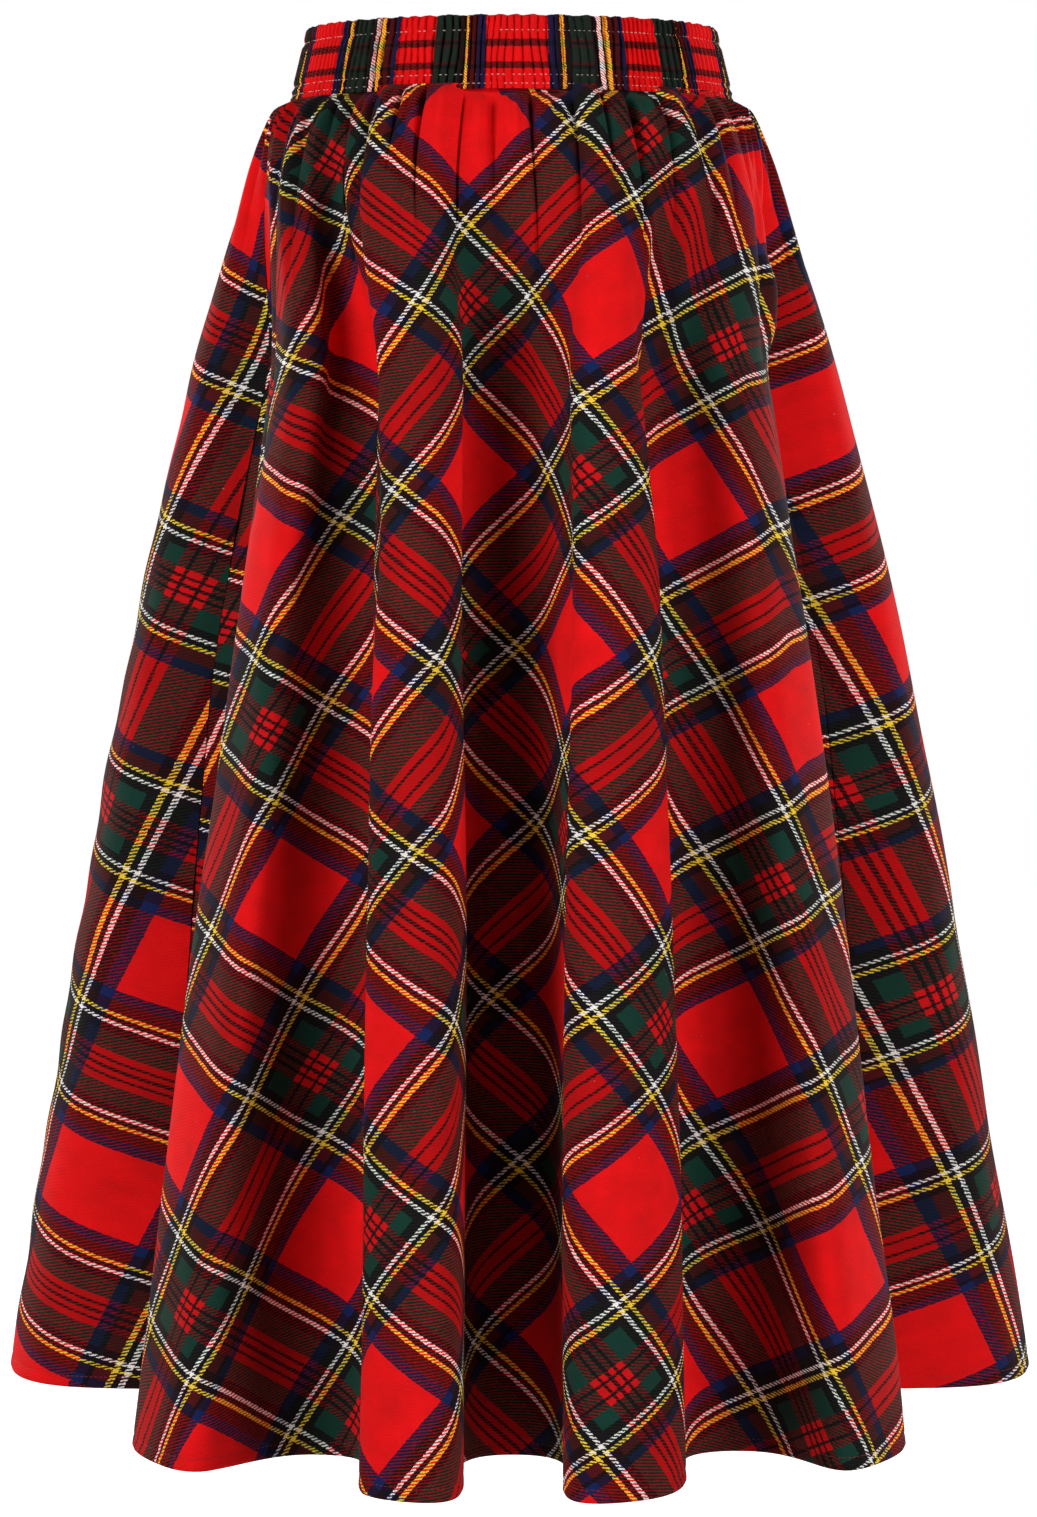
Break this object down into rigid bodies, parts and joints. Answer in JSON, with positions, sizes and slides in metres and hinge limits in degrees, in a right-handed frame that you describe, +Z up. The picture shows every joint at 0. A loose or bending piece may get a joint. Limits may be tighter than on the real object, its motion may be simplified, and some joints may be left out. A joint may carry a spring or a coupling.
{
  "type": "maxi skirt",
  "caption": "Long flared half-circle skirt with an elastic gathered waistband, deep soft folds, a side-seam pocket and a red tartan check.",
  "frame": {"origin": "centre of the waist opening, level with the top of the waistband, where the wearer holds it", "axes": "+Z up; the front of the skirt faces -Y; +X is to the right of someone looking at its front"},
  "size_m": [0.695, 0.5731, 0.885],
  "materials": {
    "tartan": "brushed twill, woven red tartan with blue, green, black, yellow and white lines",
    "band_tartan": "the same brushed twill, shirred over elastic",
    "pocketing": "plain-woven dark red pocket cloth"
  },
  "bodies": {
    "root": {"waistband": "band_tartan", "front_panel": "tartan", "back_panel": "tartan", "pocket_bag": "pocketing"}
  },
  "joints": []
}
